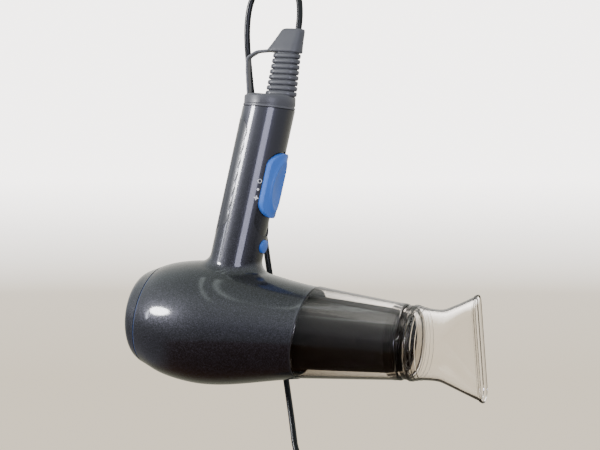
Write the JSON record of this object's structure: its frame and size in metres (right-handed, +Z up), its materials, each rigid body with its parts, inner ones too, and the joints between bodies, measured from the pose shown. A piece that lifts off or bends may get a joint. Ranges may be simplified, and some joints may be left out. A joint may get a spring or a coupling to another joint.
{
  "type": "hair dryer",
  "caption": "Hair dryer with a fixed round grip, slide switch, cool-shot button, clear double-wall barrel, clear fishtail nozzle, hanging loop and coiled mains cord.",
  "frame": {"origin": "where a hook bears in the hanging loop", "axes": "+Z up as it hangs, +X level toward the outlet, +Y across the dryer, to its left seen from behind"},
  "size_m": [0.2574, 0.0955, 0.5101],
  "materials": {
    "gunmetal": "glossy metallic pearl",
    "screw_steel": "zinc plated",
    "blue_trim": "glossy",
    "blue_plastic": "satin",
    "filter_mesh": "fine mesh",
    "dark_plastic": "matte",
    "clear": "clear moulded plastic",
    "grip_rubber": "satin soft grip",
    "soft_black": "matte flexible",
    "inner_plastic": "heat-proof moulding",
    "motor_steel": "plain",
    "spring_steel": "bright",
    "board": "circuit board",
    "mica": "mica sheet",
    "heating_wire": "oxidised",
    "brass": "plain",
    "capacitor_film": "gloss",
    "wire_red": "gloss",
    "cord_black": "smooth",
    "plug_black": "smooth moulded",
    "pin_nickel": "nickel plated"
  },
  "bodies": {
    "dryer": {"housing_left": "gunmetal", "housing_right": "gunmetal", "housing_screws": "screw_steel", "rear_trim_ring": "blue_trim", "seam_ring": "dark_plastic", "front_tube": "dark_plastic", "clear_sleeve": "clear", "outlet_grille": "dark_plastic", "slide_track": "dark_plastic", "cool_spring": "spring_steel", "grip_panel": "grip_rubber", "end_cap": "dark_plastic", "strain_relief": "soft_black", "hanging_loop": "soft_black", "fan_duct": "inner_plastic", "motor_can": "motor_steel", "motor_end_bell": "inner_plastic", "rectifier_board": "board", "rectifier_diodes": "inner_plastic", "heater_cross": "mica", "heater_coils": "heating_wire", "heater_tube": "mica", "thermostat": "motor_steel", "thermal_fuse": "motor_steel", "ion_module": "inner_plastic", "ion_needle": "motor_steel", "switch_body": "inner_plastic", "switch_terminals": "brass", "cool_switch": "inner_plastic", "circuit_board": "board", "capacitor": "capacitor_film", "inner_wires": "wire_red", "cord_clamp": "inner_plastic", "clamp_screws": "screw_steel", "power_cord": "cord_black", "cord_coil": "cord_black", "coil_tie": "soft_black", "cord_tail": "cord_black", "plug_relief": "plug_black", "plug_body": "plug_black", "plug_pins": "pin_nickel"},
    "fan": {"fan_impeller": "inner_plastic", "motor_shaft": "motor_steel"},
    "slider": {"slide_knob": "blue_plastic", "slide_carrier": "dark_plastic"},
    "button": {"cool_button": "blue_plastic"},
    "cover": {"rear_cover": "gunmetal", "intake_filter": "filter_mesh"},
    "ring": {"nozzle_ring": "clear"},
    "nozzle": {"nozzle": "clear"}
  },
  "joints": [
    {"name": "fan_spin", "type": "hinge", "parent": "dryer", "child": "fan", "pos_m": [-0.029, 0, -0.1929], "axis": [0.9981, 0, -0.061], "continuous": true},
    {"name": "switch_slide", "type": "slide", "parent": "dryer", "child": "slider", "axis": [-0.2334, 0, -0.9724], "range_m": [0, 0.0125]},
    {"name": "cool_shot_press", "type": "slide", "parent": "dryer", "child": "button", "axis": [-0.9724, 0, 0.2334], "range_m": [0, 0.002], "stiffness_N_per_m": 500, "springref_m": -0.001, "deforming": ["cool_spring"]},
    {"name": "rear_cover_off", "type": "slide", "parent": "dryer", "child": "cover", "axis": [-0.9981, 0, 0.061], "range_m": [0, 0.025]},
    {"name": "nozzle_off", "type": "slide", "parent": "dryer", "child": "ring", "axis": [0.9981, 0, -0.061], "range_m": [0, 0.03]},
    {"name": "nozzle_turn", "type": "hinge", "parent": "ring", "child": "nozzle", "pos_m": [-0.029, 0, -0.1929], "axis": [0.9981, 0, -0.061], "continuous": true}
  ]
}
